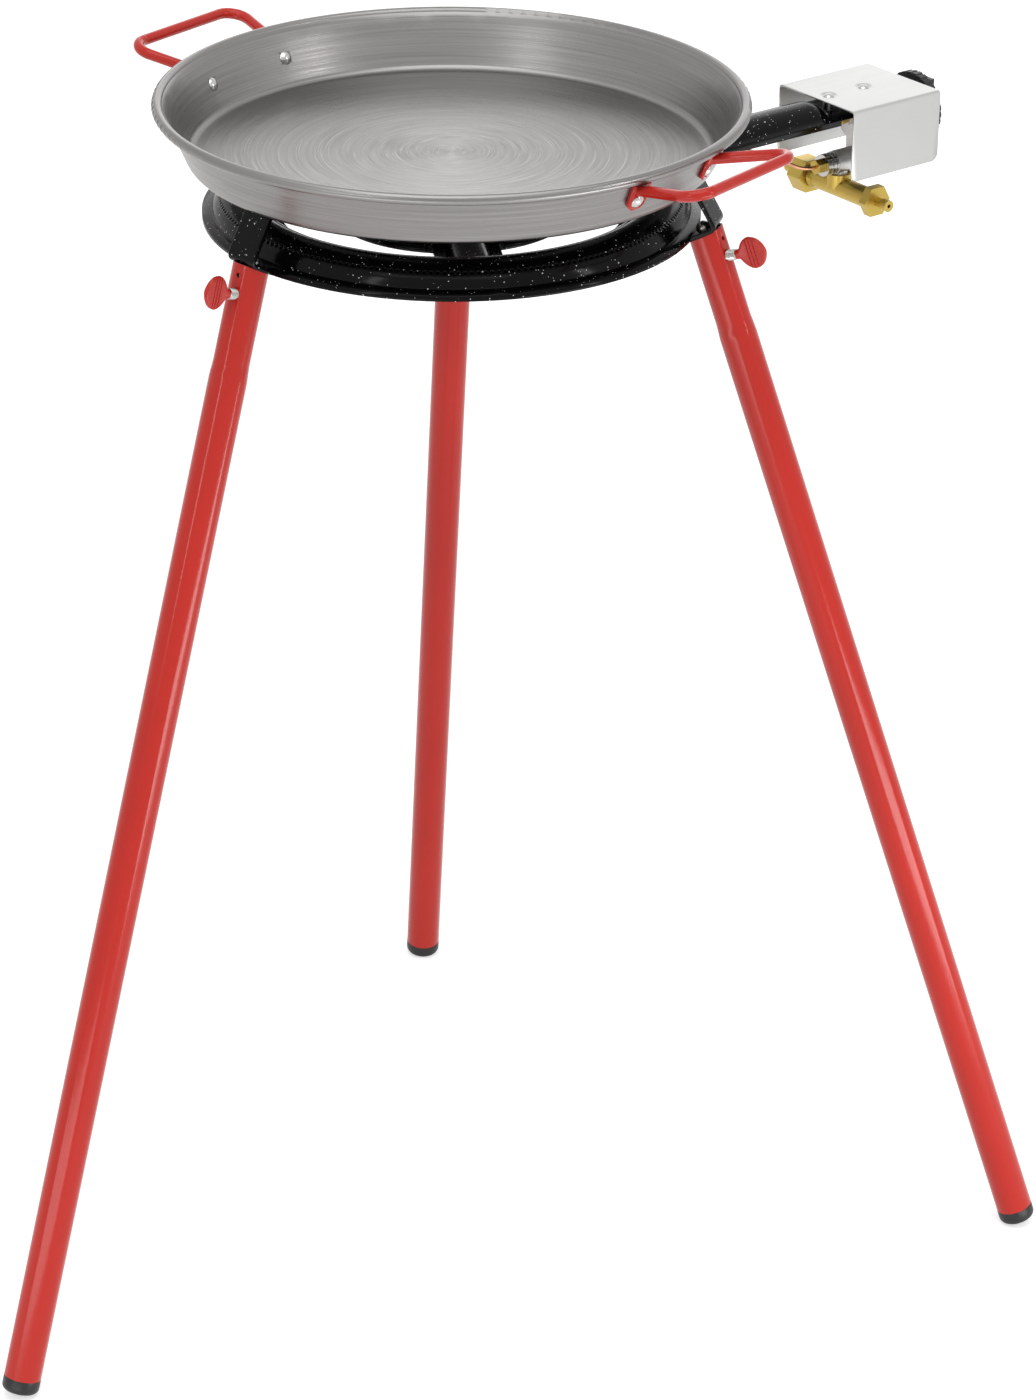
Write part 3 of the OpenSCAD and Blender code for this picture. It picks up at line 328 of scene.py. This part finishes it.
def paddle_section(along):
    """Half width, half thickness and outline power at a distance along; a power of 1 is an ellipse."""
    off_middle = min(1, abs(along - DISC_MIDDLE) / DISC_HALF_LENGTH)
    disc = DISC_HALF_WIDTH * (1 - off_middle ** 2) ** 0.5
    neck = (NECK_RADIUS + NECK_FLARE * along) * (along < DISC_MIDDLE)
    share = min(1, along / NECK_LENGTH)
    flat = share * share * (3 - 2 * share)
    thick = NECK_RADIUS + (DISC_HALF_THICKNESS - NECK_RADIUS) * flat
    if any(abs(along - groove) < GROOVE_HALF_WIDTH * GROOVE_FLOOR_SHARE for groove in GROOVES):
        thick -= GROOVE_DEPTH
    wide = (neck ** BLEND_POWER + disc ** BLEND_POWER) ** (1 / BLEND_POWER)
    return max(wide, NARROWEST), thick, 1 - DISC_SQUARENESS * flat


stops = [NECK_LENGTH * k / NECK_STEPS for k in range(NECK_STEPS + 1)]
stops += BETWEEN_GROOVES
stops += [groove + k * GROOVE_HALF_WIDTH for groove in GROOVES for k in GROOVE_STEPS]
for k in range(END_STEPS + 1):
    share = END_SHARE + (1 - END_SHARE) * k / END_STEPS
    stops.append(DISC_MIDDLE + DISC_HALF_LENGTH * sin(pi / 2 * share))
stops.sort()
for side in ("left", "right", "rear"):
    out = Vector(joints["screw_turn_" + side]["axis"]).normalized()
    up = -Vector(joints["leg_pull_" + side]["axis"]).normalized()
    across = up.cross(out)
    root = Vector(joints["screw_turn_" + side]["pos_m"]) + out * THREAD_END
    rows = []
    for along in stops:
        wide, thick, power = paddle_section(along)
        row = []
        for k in range(LOOP_POINTS):
            a = 2 * pi * k / LOOP_POINTS
            y = abs(cos(a)) ** power * (1 if cos(a) > 0 else -1) * thick
            z = abs(sin(a)) ** power * (1 if sin(a) > 0 else -1) * wide
            row.append(root + out * along + across * y + up * z)
        rows.append(row)
    paddle = skin("paddle_" + side, rows, red_plastic, sharp=40)
    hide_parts("screw_paddle_" + side)
    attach(paddle, "screw_" + side)

# Foot caps. Plugs of black plastic, moulded with a satin skin, whose spigots are pushed into the open ends
# of the tubes.
black_plastic = worked("black_plastic", color=(0.010, 0.010, 0.010), marks=(1500, 1500, 1500),
                       gloss=(0.32, 0.46), depth=0.006 * mm, metallic=0.0, specular=0.4, drift=0.15)
dress(["foot_cap_left", "foot_cap_right", "foot_cap_rear"], black_plastic)

# Tap. A cast body under the cover: a plated spindle comes out through its bonnet to carry the knob, which is
# moulded black plastic, and the bright barrel of the safety magnet is screwed in below.
CAST_EDGE = 0.4 * mm
MOULDED_EDGE = 0.5 * mm
SMALL_EDGE = 0.2 * mm
tap_alloy = worked("tap_alloy", color=(0.58, 0.58, 0.57), marks=(650, 650, 650), gloss=(0.34, 0.52),
                   depth=0.020 * mm, drift=0.08)
bright_steel = worked("bright_steel", color=(0.48, 0.48, 0.47), marks=(1200, 1200, 1200), gloss=(0.14, 0.24),
                      depth=0.002 * mm)
dress(["tap_body"], tap_alloy, edge=CAST_EDGE)
dress(["tap_bonnet", "spindle"], zinc, edge=SMALL_EDGE)
dress(["magnet_unit"], bright_steel, edge=SMALL_EDGE)
dress(["knob"], black_plastic, edge=MOULDED_EDGE)

# Tap spring. A coil of plated wire between the plug and the spindle's collar, which pushes the knob back
# out and shortens as the knob is pressed; here it is built at one length and moves with the plug.
SPRING_WIRE_RADIUS = 0.6 * mm
SPRING_TURNS = 4
STEPS_PER_TURN = 28
WIRE_SIDES = 10
spring_low, spring_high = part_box("plug_spring")
coil_radius = (spring_high.y - spring_low.y) / 2 - SPRING_WIRE_RADIUS
coil_start = spring_low.x + SPRING_WIRE_RADIUS
coil_length = spring_high.x - SPRING_WIRE_RADIUS - coil_start
middle = (spring_low + spring_high) / 2
steps = SPRING_TURNS * STEPS_PER_TURN
wire_ring = [(2 * pi * w / WIRE_SIDES, SPRING_WIRE_RADIUS) for w in range(WIRE_SIDES)]
rows = []
for k in range(steps + 1):
    turn = 2 * pi * k / STEPS_PER_TURN
    outward = Vector((0, cos(turn), sin(turn)))
    centre = Vector((coil_start + coil_length * k / steps, middle.y, middle.z)) + outward * coil_radius
    rows.append([centre + outward * r * cos(a) + Vector((r * sin(a), 0, 0)) for a, r in wire_ring])
spring = skin("tap_spring", rows, zinc)
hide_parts("plug_spring")
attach(spring, "plug")
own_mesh(spring)

# Brass fittings. Turned from bar: the gas bar across the tap, its union nut, hose nipple and end plug,
# the injector that blows into the feed tube, the tap's plug and the thermocouple's nut.
BAR_THREAD = 6 * mm
BAR_THREAD_RADIUS = 8.35 * mm
BAR_THREAD_PITCH = 1.4 * mm
BAR_THREAD_DEPTH = 0.6 * mm
BAR_EDGE = 0.4 * mm
brass = worked("turned_brass", color=(0.47, 0.34, 0.08), marks=(40, 1900, 40), gloss=(0.34, 0.40),
               depth=0.002 * mm)
dress(["gas_bar", "union_nut", "hose_nipple", "bar_plug"], brass, edge=BAR_EDGE)
dress(["injector", "tap_plug", "thermocouple_nut"], brass, edge=SMALL_EDGE)
nut_low, nut_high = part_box("union_nut")
bar_middle = (nut_low + nut_high) / 2
bar_end = Vector((bar_middle.x, nut_low.y - BAR_THREAD, bar_middle.z))
rings = thread_rings(0, BAR_THREAD, BAR_THREAD_RADIUS, BAR_THREAD_PITCH, BAR_THREAD_DEPTH)
bar_thread = lathe("bar_thread", rings, bar_end, (0, 1, 0), brass)
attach(bar_thread, "frame")

# Thermocouple. A thin copper pipe, bent by hand, rises from the magnet unit and runs along the far side
# of the feed tube to the steel tip that a plated clip on the ring holds in the flame.
PIPE_RADIUS = 1.3 * mm
PIPE_ROUTE = ((-10, 0, 0), (-22, 8, 6), (-34, 20, 13), (-54, 27, 18), (-94, 30, 22), (-129, 39, 33),
              (-142, 42, 45))
TIP_ANGLE = radians(13)
TIP_END = 195.5 * mm
PIPE_BOW = 6 * mm
PIPE_DIP = 2 * mm
TIP_LAP = 1.5 * mm
copper = worked("drawn_copper", color=(0.62, 0.30, 0.17), marks=(500, 500, 500), gloss=(0.24, 0.36),
                depth=0.003 * mm, drift=0.10)
dress(["thermocouple_tip"], zinc)
dress(["thermocouple_clip"], zinc, edge=SMALL_EDGE)
burner_axis = (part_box("pan")[0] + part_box("pan")[1]) / 2
tip_low, tip_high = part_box("thermocouple_tip")
small_nut_low, small_nut_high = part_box("thermocouple_nut")
pipe_start = (small_nut_low + small_nut_high) / 2
pipe_start.x = small_nut_low.x
outward = Vector((cos(TIP_ANGLE), sin(TIP_ANGLE), 0))
tip_foot = Vector((burner_axis.x, burner_axis.y, (tip_low.z + tip_high.z) / 2))
route = [pipe_start] + [pipe_start + Vector(step) * mm for step in PIPE_ROUTE]
route.append(tip_foot + outward * (TIP_END + PIPE_BOW) - Vector((0, 0, PIPE_DIP)))
route.append(tip_foot + outward * (TIP_END - TIP_LAP))
pipe_curve = bpy.data.curves.new("thermocouple_pipe", "CURVE")
pipe_curve.dimensions = "3D"
pipe_curve.bevel_depth = PIPE_RADIUS
pipe_curve.bevel_resolution = 5
pipe_curve.resolution_u = 8
pipe_curve.use_fill_caps = True
line = pipe_curve.splines.new("NURBS")
line.points.add(len(route) - 1)
for point, at in zip(line.points, route):
    point.co = (*at, 1)
line.order_u = 3
line.use_endpoint_u = True
pipe_curve.materials.append(copper)
pipe = bpy.data.objects.new("thermocouple_pipe", pipe_curve)
bpy.context.scene.collection.objects.link(pipe)
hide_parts("thermocouple_lead")
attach(pipe, "frame")

# Valve cover. One bright stainless sheet, folded into a channel over the tap and held by two domed screws
# with plated spacers under them; the rolling leaves fine lines along the sheet.
stainless = worked("bright_stainless", color=(0.49, 0.49, 0.48), marks=(14, 2200, 2200), gloss=(0.36, 0.44),
                   depth=0.001 * mm, drift=0.02)
dress(["valve_cover"], stainless)
dress(["cover_screws"], bright_steel, edge=SMALL_EDGE)
dress(["cover_spacers"], zinc, edge=SMALL_EDGE)

# Pan. Steel sheet, pressed to a shallow dish with a rolled rim and then brushed while it spins, so that
# fine marks run round its axis over the floor and up the wall.
PAN_GREY = (0.236, 0.230, 0.226)
SPUN_MARKS = (1100, 1.6, 0)
SPUN_DEPTH = 0.004 * mm
TONE_RINGS = (420, 1.2, 0)
pan_steel, tree, shader = finish("spun_steel", PAN_GREY, metallic=1.0)
shader.inputs["Anisotropic"].default_value = 0.5
place = add_node(tree, "ShaderNodeTexCoord")
from_axis = add_node(tree, "ShaderNodeVectorMath", operation="SUBTRACT")
from_axis.inputs[1].default_value = burner_axis
flat = add_node(tree, "ShaderNodeVectorMath", operation="MULTIPLY")
flat.inputs[1].default_value = (1, 1, 0)
out_from_axis = add_node(tree, "ShaderNodeVectorMath", operation="LENGTH")
parts = add_node(tree, "ShaderNodeSeparateXYZ")
up_the_dish = add_node(tree, "ShaderNodeMath", operation="ADD")
round_the_dish = add_node(tree, "ShaderNodeMath", operation="ARCTAN2")
spun_place = add_node(tree, "ShaderNodeCombineXYZ")
spun = use_group(tree, tool_marks, Marks_per_metre=SPUN_MARKS, Smooth=0.24, Rough=0.40)
tone = use_group(tree, tone_drift, Color=(*PAN_GREY, 1), Scale=1.0, Dark=0.86, Light=1.12)
tone_place = add_node(tree, "ShaderNodeVectorMath", operation="MULTIPLY")
tone_place.inputs[1].default_value = TONE_RINGS
bump = add_node(tree, "ShaderNodeBump", Strength=0.5, Distance=SPUN_DEPTH)
around = add_node(tree, "ShaderNodeTangent", direction_type="RADIAL", axis="Z")
tree.links.new(place.outputs["Object"], from_axis.inputs[0])
tree.links.new(from_axis.outputs["Vector"], flat.inputs[0])
tree.links.new(flat.outputs["Vector"], out_from_axis.inputs[0])
tree.links.new(from_axis.outputs["Vector"], parts.inputs["Vector"])
tree.links.new(out_from_axis.outputs["Value"], up_the_dish.inputs[0])
tree.links.new(parts.outputs["Z"], up_the_dish.inputs[1])
tree.links.new(parts.outputs["Y"], round_the_dish.inputs[0])
tree.links.new(parts.outputs["X"], round_the_dish.inputs[1])
tree.links.new(up_the_dish.outputs["Value"], spun_place.inputs["X"])
tree.links.new(round_the_dish.outputs["Value"], spun_place.inputs["Y"])
tree.links.new(spun_place.outputs["Vector"], spun.inputs["Place"])
tree.links.new(spun_place.outputs["Vector"], tone_place.inputs[0])
tree.links.new(tone_place.outputs["Vector"], tone.inputs["Place"])
tree.links.new(tone.outputs["Color"], shader.inputs["Base Color"])
tree.links.new(spun.outputs["Roughness"], shader.inputs["Roughness"])
tree.links.new(spun.outputs["Height"], bump.inputs["Height"])
tree.links.new(bump.outputs["Normal"], shader.inputs["Normal"])
tree.links.new(around.outputs["Tangent"], shader.inputs["Tangent"])
dress(["pan"], pan_steel)

# Handles. Two bent steel rods, flattened at the ends, painted red and fixed to the pan's wall by domed
# steel rivets.
dress(["handle_front", "handle_rear"], red_paint)
dress(["handle_rivets"], bright_steel, edge=SMALL_EDGE)

# Floor and studio. A pale floor that keeps the shadow and reads as white to the eye and in reflections,
# six soft lamps, and the camera at the photograph's viewpoint.
FLOOR_SIZE = 30
FLOOR_GREY = (0.88, 0.88, 0.88)
FLOOR_GLOW = 0.50
ROOM_LIGHT = 0.58


def seen_light(tree):
    """1 for rays that show a surface, straight or by reflection or glass, and 0 for rays that light one."""
    rays = add_node(tree, "ShaderNodeLightPath")
    mirrored = add_node(tree, "ShaderNodeMath", operation="MAXIMUM")
    seen = add_node(tree, "ShaderNodeMath", operation="MAXIMUM")
    tree.links.new(rays.outputs["Is Glossy Ray"], mirrored.inputs[0])
    tree.links.new(rays.outputs["Is Transmission Ray"], mirrored.inputs[1])
    tree.links.new(rays.outputs["Is Camera Ray"], seen.inputs[0])
    tree.links.new(mirrored.outputs["Value"], seen.inputs[1])
    return seen


bpy.ops.mesh.primitive_plane_add(size=FLOOR_SIZE, location=(0, 0, 0))
floor = bpy.context.object
floor.name = "floor"
floor_paint, tree, shader = finish("floor_paint", FLOOR_GREY, specular=0.1, roughness=0.9)
shader.inputs["Emission Color"].default_value = (1, 1, 1, 1)
glow = add_node(tree, "ShaderNodeMath", operation="MULTIPLY")
glow.inputs[1].default_value = FLOOR_GLOW
tree.links.new(seen_light(tree).outputs["Value"], glow.inputs[0])
tree.links.new(glow.outputs["Value"], shader.inputs["Emission Strength"])
floor.data.materials.append(floor_paint)

world = bpy.data.worlds.new("studio")
bpy.context.scene.world = world
world.use_nodes = True
room = world.node_tree.nodes["Background"]
room.inputs["Color"].default_value = (1, 1, 1, 1)
brightness = add_node(world.node_tree, "ShaderNodeMapRange", To_Min=ROOM_LIGHT, To_Max=1.0)
world.node_tree.links.new(seen_light(world.node_tree).outputs["Value"], brightness.inputs["Value"])
world.node_tree.links.new(brightness.outputs["Result"], room.inputs["Strength"])


def softbox(name, at, aim, size, watts):
    """A rectangular area lamp aimed at a point."""
    lamp = bpy.data.lights.new(name, "AREA")
    lamp.shape = "RECTANGLE"
    lamp.size, lamp.size_y = size
    lamp.energy = watts
    made = bpy.data.objects.new(name, lamp)
    made.location = at
    made.rotation_euler = (Vector(aim) - Vector(at)).to_track_quat("-Z", "Y").to_euler()
    bpy.context.scene.collection.objects.link(made)


softbox("key_lamp", at=(-2.2, -0.6, 1.6), aim=(0, 0, 0.55), size=(0.16, 1.5), watts=6)
softbox("fill_lamp", at=(1.3, -2.4, 1.6), aim=(0, 0, 0.55), size=(0.16, 1.5), watts=9)
softbox("low_right_lamp", at=(0.35, -1.35, 0.14), aim=(0.2, 0.05, 0.1), size=(1.0, 0.24), watts=5.5)
softbox("low_left_lamp", at=(-1.4, -0.6, 0.14), aim=(0.1, 0.2, 0.1), size=(1.2, 0.24), watts=3)
softbox("top_lamp", at=(-0.3, -0.3, 2.6), aim=(0, 0, 0.8), size=(1.8, 1.8), watts=18)
softbox("back_lamp", at=(2.6, 2.6, 1.9), aim=(0, 0, 0.8), size=(3.2, 2.2), watts=20)

LENS_MM = 109.13
SIDE_SHIFT = 0.0279
VIEWPOINT = (-1.7119, -2.2266, 1.806)
VIEW_TURN_DEGREES = (63.55, -0.2865, -37.287)
camera_data = bpy.data.cameras.new("camera")
camera_data.lens = LENS_MM
camera_data.shift_x = SIDE_SHIFT
camera = bpy.data.objects.new("camera", camera_data)
camera.location = VIEWPOINT
camera.rotation_euler = [radians(turn) for turn in VIEW_TURN_DEGREES]
bpy.context.scene.collection.objects.link(camera)
bpy.context.scene.camera = camera
bpy.context.scene.view_settings.view_transform = "Standard"
